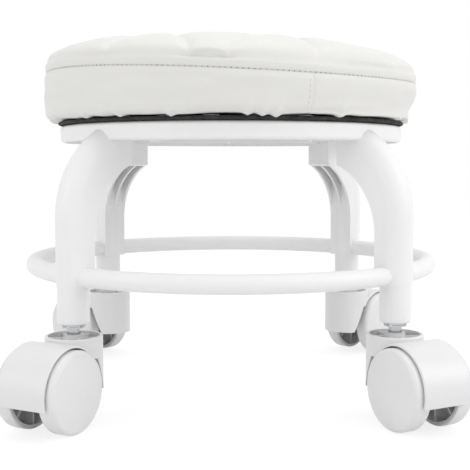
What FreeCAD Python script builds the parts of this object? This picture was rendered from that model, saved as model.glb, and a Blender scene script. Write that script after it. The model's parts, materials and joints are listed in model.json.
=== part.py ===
import FreeCAD, Part
import Sketcher
import math
import os
from types import SimpleNamespace

# Low rolling stool: a tufted round cushion on a one-piece moulded frame with four twin-wheel casters.
# Millimetres, +Z up, origin on the floor under the middle of the seat, front towards -Y.

SIZES = {
    # moulded frame: plate
    "plate_radius": 120.5,
    "plate_height": 185.3,
    "plate_thickness": 11.3,
    "plate_web": 4.0,
    "plate_skirt": 3.0,
    "plate_top_round": 2.4,
    "plate_foot_round": 2.4,
    "seat_pad_radius": 112.0,
    "seat_pad_rise": 2.4,
    "plate_rib": 2.2,
    "plate_rib_inset": 1.6,
    "plate_rib_ring_radius": 58.0,
    "plate_rib_count": 8,
    "screw_count": 4,
    "screw_circle_radius": 84.0,
    "screw_boss_diameter": 11.0,
    "screw_boss_drop": 2.0,
    "screw_hole_clearance": 0.4,
    # moulded frame: legs
    "leg_count": 4,
    "leg_pitch": 200.0,
    "leg_azimuth": 45.0,
    "leg_tube_diameter": 21.0,
    "leg_flank_width": 20.2,
    "leg_inner_reach": 9.4,
    "leg_bend_radius": 54.0,
    "leg_bend_angle": 62.0,
    "leg_crown_rise": 4.8,
    "leg_inner_bend_radius": 47.0,
    "leg_inner_bend_drop": 10.6,
    "leg_block_reach": 39.4,
    "leg_foot_height": 61.2,
    "leg_foot_diameter": 20.0,
    "leg_foot_round": 1.0,
    "channel_wall": 2.2,
    "channel_rib": 1.8,
    "channel_roof": 7.0,
    "channel_inset": 1.0,
    "channel_block_wall": 3.0,
    # moulded frame: foot ring
    "ring_radius": 139.5,
    "ring_tube_diameter": 12.0,
    "ring_height": 90.0,
    # seat: dust cloth, board and fasteners
    "cloth": 0.8,
    "cloth_radius": 121.5,
    "cloth_fold_width": 8.0,
    "cloth_fold_clearance": 0.3,
    "board_radius": 124.0,
    "board_thickness": 9.0,
    "screw_diameter": 4.5,
    "screw_head_diameter": 9.0,
    "screw_head_height": 2.8,
    "screw_head_round": 1.2,
    "screw_grip": 7.0,
    "screw_point": 2.0,
    "staple_count": 24,
    "staple_circle_radius": 112.0,
    "staple_width": 9.0,
    "staple_wire": 0.6,
    "staple_leg": 6.0,
    # seat: cushion
    "leather": 1.2,
    "hem_radius": 105.0,
    "cushion_foot_radius": 126.0,
    "cushion_side_radius": 132.0,
    "cushion_foot_rise": 7.5,
    "cushion_foot_bend": 8.0,
    "cushion_side_bend": 40.0,
    "seam_radius": 130.6,
    "seam_rise": 28.0,
    "crown_edge_radius": 112.0,
    "crown_edge_drop": 11.5,
    "crown_rise": 59.0,
    "shoulder_bend": 23.6,
    "tuft_count": 4,
    "tuft_radius": 55.0,
    "tuft_turn": -6.0,
    "tuft_round": 9.0,
    "tuft_depth": 4.0,
    "crease_round": 4.0,
    "crease_depth": 1.8,
    "crease_tail": 12.0,
    "crease_near_angle": 5.0,
    "crease_far_angle": 30.0,
    # caster: wheels and axle
    "wheel_diameter": 50.0,
    "wheel_width": 14.0,
    "wheel_gap": 21.0,
    "wheel_dome": 2.6,
    "wheel_shoulder": 3.2,
    "wheel_edge": 1.2,
    "wheel_rim": 2.6,
    "wheel_face": 2.4,
    "wheel_hub_diameter": 12.0,
    "wheel_rib": 1.2,
    "wheel_rib_inset": 2.0,
    "wheel_rib_count": 8,
    "axle_diameter": 6.0,
    "axle_end_wall": 2.0,
    "axle_groove_inset": 2.2,
    "axle_groove_width": 1.4,
    "axle_groove_depth": 0.5,
    "running_clearance": 0.06,
    "snap_clearance": 0.12,
    # caster: hood
    "trail": 24.5,
    "hood_width": 33.6,
    "hood_radius": 27.4,
    "hood_wall": 1.3,
    "hood_lip_angle": 13.0,
    "hood_back_angle": 150.0,
    "hood_edge_round": 0.7,
    "cup_diameter": 35.7,
    "cup_wall": 2.0,
    "cup_rim_height": 53.7,
    "cup_floor_height": 43.0,
    "cup_floor": 2.0,
    "cup_back_height": 20.0,
    "arch_head": 0.0,
    "arch_foot": 11.4,
    "cup_rib": 1.6,
    "cup_rib_drop": 1.4,
    "cup_rib_count": 6,
    "hub_diameter": 12.8,
    "hub_rise": 0.8,
    "hub_foot_height": 26.0,
    "hub_floor": 2.5,
    "web": 7.0,
    "axle_boss_diameter": 13.0,
    "axle_boss_clearance": 0.4,
    "web_front_angle": 72.0,
    "web_back_angle": 125.0,
    # caster: stem, grip ring and clip
    "neck_diameter": 8.5,
    "flange_diameter": 14.5,
    "flange_thickness": 2.4,
    "flange_groove": 0.7,
    "flange_groove_depth": 0.9,
    "stem_diameter": 10.6,
    "stem_length": 22.0,
    "stem_point": 1.6,
    "socket_diameter": 11.0,
    "socket_end_gap": 2.0,
    "grip_height": 5.0,
    "grip_drop": 3.0,
    "grip_groove_depth": 0.7,
    "grip_gap_angle": 40.0,
    "clip_height": 1.0,
    "clip_rise": 3.0,
    "clip_diameter": 10.4,
    "clip_groove_depth": 0.8,
    "clip_gap_angle": 70.0,
    "clip_clearance": 0.3,
    "thrust_clearance": 0.1,
    # directions in which the casters trail at rest, in degrees from +X
    "trail_front_left": 241.5,
    "trail_front_right": 295.5,
    "trail_rear_right": 45.0,
    "trail_rear_left": 137.0,
    # one overrun for every cut that leaves the solid
    "overrun": 5.0,
}

doc = FreeCAD.newDocument("low_rolling_stool")
sheet = doc.addObject("Spreadsheet::Sheet", "dims")
for row, (alias, number) in enumerate(SIZES.items(), start=1):
    cell = f"A{row}"
    sheet.set(cell, str(number))
    sheet.setAlias(cell, alias)
doc.recompute()


class Size:
    """A size of the stool: its formula over the sheet, and the number that it comes to."""

    def __init__(self, formula, number):
        self.formula = formula
        self.number = number

    def __add__(self, other):
        other = as_size(other)
        return Size(f"({self.formula} + {other.formula})", self.number + other.number)

    def __sub__(self, other):
        other = as_size(other)
        return Size(f"({self.formula} - {other.formula})", self.number - other.number)

    def __mul__(self, other):
        other = as_size(other)
        return Size(f"({self.formula} * {other.formula})", self.number * other.number)

    def __truediv__(self, other):
        other = as_size(other)
        return Size(f"({self.formula} / {other.formula})", self.number / other.number)

    def __neg__(self):
        return Size(f"(0 - {self.formula})", -self.number)

    def root(self):
        return Size(f"sqrt({self.formula})", math.sqrt(self.number))

    def cosine(self):
        return Size(f"cos({self.formula} * 1 deg)", math.cos(math.radians(self.number)))

    def sine(self):
        return Size(f"sin({self.formula} * 1 deg)", math.sin(math.radians(self.number)))


def as_size(value):
    return value if isinstance(value, Size) else Size(repr(value), value)


def across(radius, offset):
    """Height of a circle of this radius over a point that lies offset from its middle."""
    return (radius * radius - offset * offset).root()


def on_circle(radius, around):
    """The point of a circle about the stool's axis that lies this many degrees from +X."""
    return radius * around.cosine(), radius * around.sine()


d = SimpleNamespace(**{name: Size(f"dims.{name}", float(sheet.get(name))) for name in SIZES})
ZERO = as_size(0)
UP = FreeCAD.Vector(0, 0, 1)

# places shared by several pieces
leg_radius = d.leg_pitch / math.sqrt(2)
plate_foot = d.plate_height - d.plate_thickness
web_foot = d.plate_height - d.plate_web
pad_top = d.plate_height + d.seat_pad_rise
cloth_top = pad_top + d.cloth
hem_foot = cloth_top + d.staple_wire
board_foot = hem_foot + d.leather
board_top = board_foot + d.board_thickness
seam_height = hem_foot + d.seam_rise
crown_height = hem_foot + d.crown_rise
boss_foot = web_foot - d.screw_boss_drop
wheel_radius = d.wheel_diameter / 2
axle_height = wheel_radius
wheel_inner = d.wheel_gap / 2
wheel_outer = wheel_inner + d.wheel_width
axle_reach = wheel_outer - d.wheel_face - d.axle_end_wall
hub_top = d.cup_rim_height + d.hub_rise
bore_floor = d.hub_foot_height + d.hub_floor
stem_foot = bore_floor + d.thrust_clearance
stem_top = d.leg_foot_height + d.stem_length
clip_foot = stem_foot + d.clip_rise


# sketches and features

def origin_part(body, role):
    return next(part for part in body.Origin.OriginFeatures if part.Role == role)


def bind(item, path, size):
    """Set a property of an object from a size, by its formula where it has one."""
    item.setExpression(path, as_size(size).formula)


def new_sketch(body, name, plane, shift=()):
    """A sketch on an origin plane; shift moves it along the plane's own axes."""
    made = body.newObject("Sketcher::SketchObject", name)
    made.AttachmentSupport = [(origin_part(body, plane), "")]
    made.MapMode = "FlatFace"
    for axis, size in shift:
        bind(made, f"AttachmentOffset.Base.{axis}", size)
    return made


def pin(sketch, kind, *where):
    """A sketch dimension whose value is the last argument, a size."""
    size = as_size(where[-1])
    index = sketch.addConstraint(Sketcher.Constraint(kind, *where[:-1], size.number))
    sketch.setExpression(f"Constraints[{index}]", size.formula)


def pin_point(sketch, shape, end, point):
    pin(sketch, "DistanceX", -1, 1, shape, end, point[0])
    pin(sketch, "DistanceY", -1, 1, shape, end, point[1])


def arc_through(start, end, radius, side):
    """Arc of under a half circle; side is 1 where its middle lies left of the way to the end, else -1."""
    run = end - start
    middle = (start + end) * 0.5
    left = FreeCAD.Vector(-run.y, run.x, 0).normalize()
    centre = middle + left * (side * math.sqrt(radius ** 2 - (run.Length / 2) ** 2))
    angles = [math.atan2(point.y - centre.y, point.x - centre.x) for point in (start, end)]
    if side < 0:
        angles.reverse()
    if angles[1] < angles[0]:
        angles[1] += math.tau
    circle = Part.Circle(centre, FreeCAD.Vector(0, 0, 1), radius)
    return Part.ArcOfCircle(circle, angles[0], angles[1])


def draw(sketch, points, arcs=None, closed=True):
    """Chain of lines through points of two sizes; arcs gives (radius, side) by a stretch's first point."""
    arcs = arcs or {}
    spots = [FreeCAD.Vector(as_size(x).number, as_size(y).number, 0) for x, y in points]
    stretches = len(points) if closed else len(points) - 1
    ends = []
    for index in range(stretches):
        start, end = spots[index], spots[(index + 1) % len(spots)]
        if index in arcs:
            radius, side = arcs[index]
            shape = sketch.addGeometry(arc_through(start, end, radius.number, side), False)
            ends.append((shape, 1, 2) if side > 0 else (shape, 2, 1))
            pin(sketch, "Radius", shape, radius)
        else:
            shape = sketch.addGeometry(Part.LineSegment(start, end), False)
            ends.append((shape, 1, 2))
    for index in range(stretches):
        if index + 1 < stretches or closed:
            shape, _, last = ends[index]
            following, first, _ = ends[(index + 1) % stretches]
            sketch.addConstraint(Sketcher.Constraint("Coincident", shape, last, following, first))
        shape, first, _ = ends[index]
        pin_point(sketch, shape, first, points[index])
    if not closed:
        shape, _, last = ends[-1]
        pin_point(sketch, shape, last, points[-1])


def draw_circle(sketch, x, y, radius):
    spot = FreeCAD.Vector(as_size(x).number, as_size(y).number, 0)
    shape = sketch.addGeometry(Part.Circle(spot, FreeCAD.Vector(0, 0, 1), radius.number), False)
    pin_point(sketch, shape, 3, (x, y))
    pin(sketch, "Radius", shape, radius)


def extrude(body, kind, name, sketch, length, both_ways=False, backwards=False):
    made = body.newObject(f"PartDesign::{kind}", name)
    made.Profile = sketch
    bind(made, "Length", length)
    made.SideType = "Symmetric" if both_ways else "One side"
    made.Reversed = backwards
    sketch.Visibility = False
    return made


def pad(body, name, sketch, length, both_ways=False, backwards=False):
    return extrude(body, "Pad", name, sketch, length, both_ways, backwards)


def pocket(body, name, sketch, length, both_ways=False, backwards=False):
    return extrude(body, "Pocket", name, sketch, length, both_ways, backwards)


def revolve(body, name, sketch, axis="V_Axis", angle=None, kind="Revolution"):
    made = body.newObject(f"PartDesign::{kind}", name)
    made.Profile = sketch
    made.ReferenceAxis = (sketch, [axis])
    made.Angle = 360
    if angle is not None:
        bind(made, "Angle", angle)
    return made


def repeat_round(body, name, originals, count, axis):
    made = body.newObject("PartDesign::PolarPattern", name)
    made.Originals = originals
    made.Axis = axis
    made.Angle = 360
    bind(made, "Occurrences", count)
    body.Tip = made
    return made


def round_edges(body, name, base, radius, wanted):
    """Fillet on the edges of a feature that the wanted test picks."""
    doc.recompute()
    picked = [f"Edge{index}" for index, edge in enumerate(base.Shape.Edges, start=1) if wanted(edge)]
    made = body.newObject("PartDesign::Fillet", name)
    made.Base = (base, picked)
    bind(made, "Radius", radius)
    return made


def is_circle(edge, radius, height):
    curve = edge.Curve
    if not isinstance(curve, Part.Circle):
        return False
    near = math.isclose(curve.Radius, radius.number, abs_tol=1e-4)
    return near and math.isclose(curve.Center.z, height.number, abs_tol=1e-4)


def new_body(name):
    body = doc.addObject("PartDesign::Body", name)
    body.Label = name
    return body


def stand(item, x, y, turn):
    """Stand a finished piece at a place on the floor, turned about the upright axis."""
    item.Placement = FreeCAD.Placement(FreeCAD.Vector(), FreeCAD.Rotation(UP, turn.number))
    bind(item, "Placement.Rotation.Angle", turn)
    bind(item, "Placement.Base.x", x)
    bind(item, "Placement.Base.y", y)


def spun(name, points, arcs=None):
    """A body turned about its own Z axis from one outline of (radius, height) points."""
    body = new_body(name)
    outline = new_sketch(body, f"{name}_outline", "XZ_Plane")
    draw(outline, points, arcs)
    revolve(body, f"{name}_turned", outline)
    return body


# moulded frame, with its first leg on the body's own +X axis

def add_plate(body):
    outline = new_sketch(body, "plate_outline", "XZ_Plane")
    skirt_inner = d.plate_radius - d.plate_skirt
    draw(outline, [
        (ZERO, pad_top),
        (d.seat_pad_radius, pad_top),
        (d.seat_pad_radius, d.plate_height),
        (d.plate_radius, d.plate_height),
        (d.plate_radius, plate_foot),
        (skirt_inner, plate_foot),
        (skirt_inner, web_foot),
        (ZERO, web_foot),
    ])
    plate = revolve(body, "plate", outline)
    top = round_edges(body, "plate_top_edge", plate, d.plate_top_round,
                      lambda edge: is_circle(edge, d.plate_radius, d.plate_height))
    round_edges(body, "plate_foot_edge", top, d.plate_foot_round,
                lambda edge: is_circle(edge, d.plate_radius, plate_foot))


def add_plate_ribs(body):
    depth = d.plate_thickness - d.plate_web - d.plate_rib_inset
    half = d.plate_rib / 2
    rib = new_sketch(body, "plate_rib_plan", "XY_Plane", [("z", web_foot)])
    draw(rib, [
        (d.plate_rib_ring_radius, -half),
        (d.plate_radius - d.plate_skirt / 2, -half),
        (d.plate_radius - d.plate_skirt / 2, half),
        (d.plate_rib_ring_radius, half),
    ])
    ribs = pad(body, "plate_rib_pad", rib, depth, backwards=True)
    repeat_round(body, "plate_ribs", [ribs], d.plate_rib_count, (origin_part(body, "Z_Axis"), [""]))
    hoop = new_sketch(body, "plate_hoop_plan", "XY_Plane", [("z", web_foot)])
    draw_circle(hoop, ZERO, ZERO, d.plate_rib_ring_radius + half)
    draw_circle(hoop, ZERO, ZERO, d.plate_rib_ring_radius - half)
    pad(body, "plate_hoop", hoop, depth, backwards=True)


def leg_flank_points():
    """Inner side of a leg in its radial plane: flat face, inner bend, block under the plate."""
    face = leg_radius - d.leg_inner_reach
    block = leg_radius - d.leg_block_reach
    bend_height = leg_bend_height()
    inner_height = bend_height - d.leg_inner_bend_drop
    inner_middle = face - d.leg_inner_bend_radius
    block_foot = inner_height + across(d.leg_inner_bend_radius, block - inner_middle)
    return face, block, inner_height, block_foot


def leg_bend_height():
    return d.plate_height + d.leg_crown_rise - d.leg_tube_diameter / 2 - d.leg_bend_radius


def add_leg(body):
    step = d.ring_height - d.ring_tube_diameter / 2
    bend_height = leg_bend_height()
    bend_middle = leg_radius - d.leg_bend_radius
    bend_end = (
        bend_middle + d.leg_bend_radius * d.leg_bend_angle.cosine(),
        bend_height + d.leg_bend_radius * d.leg_bend_angle.sine(),
    )
    path = new_sketch(body, "leg_path", "XZ_Plane")
    draw(path, [(leg_radius, step), (leg_radius, bend_height), bend_end],
         {1: (d.leg_bend_radius, 1)}, closed=False)
    section = new_sketch(body, "leg_section", "XY_Plane", [("z", step)])
    draw_circle(section, leg_radius, ZERO, d.leg_tube_diameter / 2)
    tube = body.newObject("PartDesign::AdditivePipe", "leg_tube")
    tube.Profile = section
    tube.Spine = (path, [])

    face, block, inner_height, block_foot = leg_flank_points()
    flank = new_sketch(body, "leg_flank_side", "XZ_Plane")
    draw(flank, [
        (leg_radius, step),
        (leg_radius, bend_height),
        bend_end,
        (bend_end[0], web_foot),
        (block, web_foot),
        (block, block_foot),
        (face, inner_height),
        (face, step),
    ], {1: (d.leg_bend_radius, 1), 5: (d.leg_inner_bend_radius, -1)})
    flanks = pad(body, "leg_flanks", flank, d.leg_flank_width, both_ways=True)

    foot = new_sketch(body, "leg_foot_plan", "XY_Plane", [("z", d.leg_foot_height)])
    draw_circle(foot, leg_radius, ZERO, d.leg_foot_diameter / 2)
    feet = pad(body, "leg_foot", foot, d.ring_height - d.leg_foot_height)
    return [tube, flanks, feet]


def add_leg_channels(body):
    """Two upright channels in the bend of the leg, open from below, with a rib between them."""
    face, block, inner_height, _ = leg_flank_points()
    bend_height = leg_bend_height()
    bend_middle = leg_radius - d.leg_bend_radius
    roof = d.leg_bend_radius + d.leg_tube_diameter / 2 - d.channel_roof
    outer = face - d.channel_inset
    inner = block + d.channel_block_wall
    width = (d.leg_flank_width - d.channel_wall * 2 - d.channel_rib) / 2
    made = []
    for side in (-1, 1):
        shift = (d.channel_rib + width) / 2 * side
        name = f"leg_channel_{'left' if side < 0 else 'right'}"
        cut = new_sketch(body, f"{name}_side", "XZ_Plane", [("z", shift)])
        draw(cut, [
            (outer, inner_height),
            (outer, bend_height + across(roof, outer - bend_middle)),
            (inner, bend_height + across(roof, inner - bend_middle)),
            (inner, inner_height),
        ], {1: (roof, 1)})
        made.append(pocket(body, name, cut, width, both_ways=True))
    return made


def add_leg_socket(body):
    socket = new_sketch(body, "leg_socket_plan", "XY_Plane", [("z", d.leg_foot_height)])
    draw_circle(socket, leg_radius, ZERO, d.socket_diameter / 2)
    return pocket(body, "leg_socket", socket, d.stem_length + d.socket_end_gap, backwards=True)


def add_foot_ring(body):
    section = new_sketch(body, "foot_ring_section", "XZ_Plane")
    draw_circle(section, d.ring_radius, d.ring_height, d.ring_tube_diameter / 2)
    revolve(body, "foot_ring", section)


def add_screw_bosses(body):
    axis = (origin_part(body, "Z_Axis"), [""])
    along = d.screw_circle_radius / math.sqrt(2)
    recess = new_sketch(body, "screw_recess_plan", "XY_Plane", [("z", plate_foot - d.overrun)])
    draw_circle(recess, along, along, d.screw_boss_diameter / 2)
    recesses = pocket(body, "screw_recess", recess, web_foot - plate_foot + d.overrun, backwards=True)
    repeat_round(body, "screw_recesses", [recesses], d.screw_count, axis)
    boss = new_sketch(body, "screw_boss_plan", "XY_Plane", [("z", boss_foot)])
    draw_circle(boss, along, along, d.screw_boss_diameter / 2)
    bosses = pad(body, "screw_boss", boss, d.screw_boss_drop + d.plate_web / 2)
    repeat_round(body, "screw_bosses", [bosses], d.screw_count, axis)
    hole = new_sketch(body, "screw_hole_plan", "XY_Plane", [("z", boss_foot - d.overrun)])
    draw_circle(hole, along, along, (d.screw_diameter + d.screw_hole_clearance) / 2)
    holes = pocket(body, "screw_hole", hole, pad_top - boss_foot + d.overrun * 2, backwards=True)
    repeat_round(body, "screw_holes", [holes], d.screw_count, axis)


def make_frame():
    body = new_body("moulded_frame")
    add_plate(body)
    add_plate_ribs(body)
    leg = add_leg(body)
    leg += add_leg_channels(body)
    repeat_round(body, "legs", leg, d.leg_count, (origin_part(body, "Z_Axis"), [""]))
    add_foot_ring(body)
    socket = add_leg_socket(body)
    sockets = repeat_round(body, "leg_sockets", [socket], d.leg_count, (origin_part(body, "Z_Axis"), [""]))
    round_edges(body, "leg_foot_edges", sockets, d.leg_foot_round,
                lambda edge: is_circle(edge, d.leg_foot_diameter / 2, d.leg_foot_height))
    add_screw_bosses(body)
    stand(body, ZERO, ZERO, d.leg_azimuth)
    return body


# seat: cloth, board, screws and staples

def drill_screw_holes(body, diameter, foot, top):
    """Holes on the screw circle, the first of them on the stool's own X axis."""
    plan = new_sketch(body, f"{body.Name}_hole_plan", "XY_Plane", [("z", foot - d.overrun)])
    draw_circle(plan, d.screw_circle_radius, ZERO, diameter / 2)
    hole = pocket(body, f"{body.Name}_hole", plan, top - foot + d.overrun * 2, backwards=True)
    repeat_round(body, f"{body.Name}_holes", [hole], d.screw_count, (origin_part(body, "Z_Axis"), [""]))


def make_dust_cloth():
    """Thin cloth under the seat, its edge folded over and hanging in the gap above the plate's rim."""
    fold_inner = d.cloth_radius - d.cloth_fold_width
    fold_foot = d.plate_height + d.cloth_fold_clearance
    body = spun("dust_cloth", [
        (ZERO, pad_top),
        (fold_inner, pad_top),
        (fold_inner, fold_foot),
        (d.cloth_radius, fold_foot),
        (d.cloth_radius, cloth_top),
        (ZERO, cloth_top),
    ])
    drill_screw_holes(body, d.screw_diameter + d.screw_hole_clearance, pad_top, cloth_top)
    return body


def make_board():
    body = spun("seat_board", [
        (ZERO, board_foot),
        (d.board_radius, board_foot),
        (d.board_radius, board_top),
        (ZERO, board_top),
    ])
    drill_screw_holes(body, d.screw_diameter, board_foot, board_foot + d.screw_grip - d.overrun)
    return body


def make_screws():
    """Pan-head screws, up through the plate and the cloth into the board."""
    tip = board_foot + d.screw_grip
    head = boss_foot - d.screw_head_height
    screws = []
    for index in range(int(d.screw_count.number)):
        screw = spun(f"seat_screw_{index + 1}", [
            (ZERO, head),
            (d.screw_head_diameter / 2 - d.screw_head_round, head),
            (d.screw_head_diameter / 2, head + d.screw_head_round),
            (d.screw_head_diameter / 2, boss_foot),
            (d.screw_diameter / 2, boss_foot),
            (d.screw_diameter / 2, tip - d.screw_point),
            (ZERO, tip),
        ])
        around = as_size(360) / d.screw_count * index
        x, y = on_circle(d.screw_circle_radius, around)
        stand(screw, x, y, around)
        screws.append(screw)
    return gather("seat_screws", screws)


def gather(name, pieces):
    """One node that holds several equal pieces, each still a solid of its own."""
    group = doc.addObject("Part::Compound", name)
    group.Label = name
    group.Links = pieces
    return group


def make_staples():
    """Staples that hold the turned-under hem of the cover to the board."""
    half = d.staple_width / 2
    leg_top = hem_foot + d.staple_leg
    points = [
        (-half, cloth_top),
        (half, cloth_top),
        (half, leg_top),
        (half - d.staple_wire, leg_top),
        (half - d.staple_wire, hem_foot),
        (-half + d.staple_wire, hem_foot),
        (-half + d.staple_wire, leg_top),
        (-half, leg_top),
    ]
    staples = []
    for index in range(int(d.staple_count.number)):
        body = new_body(f"staple_{index + 1}")
        side = new_sketch(body, f"staple_{index + 1}_side", "XZ_Plane")
        draw(side, points)
        pad(body, f"staple_{index + 1}_wire", side, d.staple_wire, both_ways=True)
        around = as_size(360) / d.staple_count * (index + 0.5)
        x, y = on_circle(d.staple_circle_radius, around)
        stand(body, x, y, around + 90)
        staples.append(body)
    return gather("staples", staples)


# seat: cushion

def cushion_outline(skin):
    """Half outline of the cushion, drawn in by the skin: flat foot, bulged side, shoulder, crown."""
    edge_height = crown_height - d.crown_edge_drop
    bend = (d.crown_edge_radius * d.crown_edge_radius + d.crown_edge_drop * d.crown_edge_drop)
    crown_bend = bend / (d.crown_edge_drop * 2)
    points = [
        (ZERO, hem_foot + skin),
        (d.cushion_foot_radius, hem_foot + skin),
        (d.cushion_side_radius - skin, hem_foot + d.cushion_foot_rise),
        (d.seam_radius - skin, seam_height),
        (d.crown_edge_radius, edge_height - skin),
        (ZERO, crown_height - skin),
    ]
    arcs = {
        1: (d.cushion_foot_bend - skin / 2, 1),
        2: (d.cushion_side_bend - skin, 1),
        3: (d.shoulder_bend - skin, 1),
        4: (crown_bend, 1),
    }
    return points, arcs


def crown_at(radius):
    """Height of the crown over a point at this distance from the middle."""
    drop = d.crown_edge_drop
    bend = (d.crown_edge_radius * d.crown_edge_radius + drop * drop) / (drop * 2)
    return crown_height - bend + across(bend, radius)


def spot(radius, turn, height):
    return FreeCAD.Vector(radius * math.cos(turn), radius * math.sin(turn), height)


def crease_lines():
    """Sewn creases as pairs of points: each tuft to its four points on the crown's edge."""
    lift = d.crease_round - d.crease_depth
    inner, outer = d.tuft_radius, d.crown_edge_radius
    turn = math.radians(d.tuft_turn.number)
    near, far = math.radians(d.crease_near_angle.number), math.radians(d.crease_far_angle.number)
    share = math.tau / d.tuft_count.number
    tufts = [turn + share * (index + 0.5) for index in range(int(d.tuft_count.number))]
    inner_height = (crown_at(inner) + lift).number
    outer_height = (crown_at(outer) + lift).number
    pairs = []
    for index, tuft in enumerate(tufts):
        start = spot(inner.number, tuft, inner_height)
        for edge in (near, far, share - far, share - near):
            pairs.append((start, spot(outer.number, turn + share * index + edge, outer_height)))
    return tufts, pairs


def sew(cushion, name, skin):
    """The cushion with its tufts and creases pressed in, each wider by the skin."""
    tufts, pairs = crease_lines()
    tools = []
    for index, tuft in enumerate(tufts):
        ball = doc.addObject("Part::Sphere", f"{name}_tuft_{index + 1}")
        bind(ball, "Radius", d.tuft_round + skin)
        height = crown_at(d.tuft_radius) + d.tuft_round - d.tuft_depth
        ball.Placement.Base = spot(d.tuft_radius.number, tuft, height.number)
        bind(ball, "Placement.Base.z", height)
        tools.append(ball)
    for index, (start, end) in enumerate(pairs):
        rod = doc.addObject("Part::Cylinder", f"{name}_crease_{index + 1}")
        run = end - start
        bind(rod, "Radius", d.crease_round + skin)
        bind(rod, "Height", as_size(run.Length) + d.crease_tail)
        rod.Placement = FreeCAD.Placement(start, FreeCAD.Rotation(UP, run))
        tools.append(rod)
    for tool in tools:
        cut = doc.addObject("Part::Cut", f"{tool.Name}_cut")
        cut.Base = cushion
        cut.Tool = tool
        cut.Refine = False
        cushion = cut
    return cushion


def plain_disc(name, radius, foot, top):
    disc = doc.addObject("Part::Cylinder", name)
    bind(disc, "Radius", radius)
    bind(disc, "Height", top - foot)
    bind(disc, "Placement.Base.z", foot)
    return disc


def join(kind, name, base, tool):
    made = doc.addObject(f"Part::{kind}", name)
    made.Label = name
    made.Base = base
    made.Tool = tool
    made.Refine = False
    return made


def make_cushion():
    """Foam on the board, and the sewn cover round both: tufted top panel and side band with its hem."""
    shapes = []
    for name, skin in (("outside", ZERO), ("inside", d.leather)):
        plain = spun(f"cushion_{name}", *cushion_outline(skin))
        stand(plain, ZERO, ZERO, d.tuft_turn)
        shapes.append(sew(plain, name, skin))
    outside, inside = shapes
    foam = join("Cut", "seat_foam", inside,
                plain_disc("board_space", d.board_radius, board_foot - d.overrun, board_top))
    shell = join("Cut", "cover_shell", outside, inside)
    opened = join("Cut", "cover_opened", shell,
                  plain_disc("hem_opening", d.hem_radius, hem_foot - d.overrun, board_foot + d.overrun))
    reach = d.cushion_side_radius + d.overrun
    below = plain_disc("below_seam", reach, hem_foot - d.overrun, seam_height)
    band = join("Common", "cover_side_band", opened, below)
    top = join("Cut", "cover_top_panel", opened, below)
    return [foam, band, top]


# casters, each drawn with its stem on the Z axis and its axle out along +X

def make_stem(name):
    neck = d.neck_diameter / 2
    groove = neck - d.clip_groove_depth
    flange = d.flange_diameter / 2
    flange_foot = d.leg_foot_height - d.flange_thickness
    mid = d.leg_foot_height - d.flange_thickness / 2
    shank = d.stem_diameter / 2
    grip_top = stem_top - d.grip_drop
    grip_foot = grip_top - d.grip_height
    return spun(name, [
        (ZERO, stem_foot),
        (neck, stem_foot),
        (neck, clip_foot),
        (groove, clip_foot),
        (groove, clip_foot + d.clip_height),
        (neck, clip_foot + d.clip_height),
        (neck, flange_foot),
        (flange, flange_foot),
        (flange, mid - d.flange_groove / 2),
        (flange - d.flange_groove_depth, mid - d.flange_groove / 2),
        (flange - d.flange_groove_depth, mid + d.flange_groove / 2),
        (flange, mid + d.flange_groove / 2),
        (flange, d.leg_foot_height),
        (shank, d.leg_foot_height),
        (shank, grip_foot),
        (shank - d.grip_groove_depth, grip_foot),
        (shank - d.grip_groove_depth, grip_top),
        (shank, grip_top),
        (shank, stem_top - d.stem_point),
        (shank - d.stem_point, stem_top),
        (ZERO, stem_top),
    ])


def make_split_ring(name, inner, outer, foot, height, gap):
    body = new_body(name)
    section = new_sketch(body, f"{name}_section", "XZ_Plane")
    draw(section, [(inner, foot), (outer, foot), (outer, foot + height), (inner, foot + height)])
    revolve(body, f"{name}_bent", section, angle=as_size(360) - gap)
    return body


def make_grip_ring(name):
    inner = d.stem_diameter / 2 - d.grip_groove_depth
    foot = stem_top - d.grip_drop - d.grip_height
    return make_split_ring(name, inner, d.socket_diameter / 2, foot, d.grip_height, d.grip_gap_angle)


def make_stem_clip(name):
    inner = d.neck_diameter / 2 - d.clip_groove_depth
    return make_split_ring(name, inner, d.clip_diameter / 2, clip_foot, d.clip_height, d.clip_gap_angle)


def on_axle(angle, radius):
    """A point of the hood's side at this angle and distance from the axle, as (x, height)."""
    return d.trail + radius * angle.cosine(), axle_height + radius * angle.sine()


def add_cup(body):
    outer = d.cup_diameter / 2
    inner = outer - d.cup_wall
    plan = new_sketch(body, "cup_plan", "XY_Plane", [("z", d.cup_back_height)])
    draw_circle(plan, ZERO, ZERO, outer)
    pad(body, "cup", plan, d.cup_rim_height - d.cup_back_height)
    mouth = new_sketch(body, "cup_mouth", "XY_Plane", [("z", d.cup_floor_height)])
    draw_circle(mouth, ZERO, ZERO, inner)
    pocket(body, "cup_inside", mouth, d.cup_rim_height - d.cup_floor_height + d.overrun, backwards=True)
    under = new_sketch(body, "cup_under", "XY_Plane", [("z", d.cup_back_height - d.overrun)])
    draw_circle(under, ZERO, ZERO, inner)
    depth = d.cup_floor_height - d.cup_floor - d.cup_back_height + d.overrun
    pocket(body, "cup_underside", under, depth, backwards=True)
    rib = new_sketch(body, "cup_rib_plan", "XY_Plane", [("z", d.cup_floor_height - d.cup_floor / 2)])
    draw(rib, [
        (ZERO, -d.cup_rib / 2),
        (outer - d.cup_wall / 2, -d.cup_rib / 2),
        (outer - d.cup_wall / 2, d.cup_rib / 2),
        (ZERO, d.cup_rib / 2),
    ])
    height = d.cup_rim_height - d.cup_rib_drop - d.cup_floor_height + d.cup_floor / 2
    ribs = pad(body, "cup_rib", rib, height)
    repeat_round(body, "cup_ribs", [ribs], d.cup_rib_count, (origin_part(body, "Z_Axis"), [""]))


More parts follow.
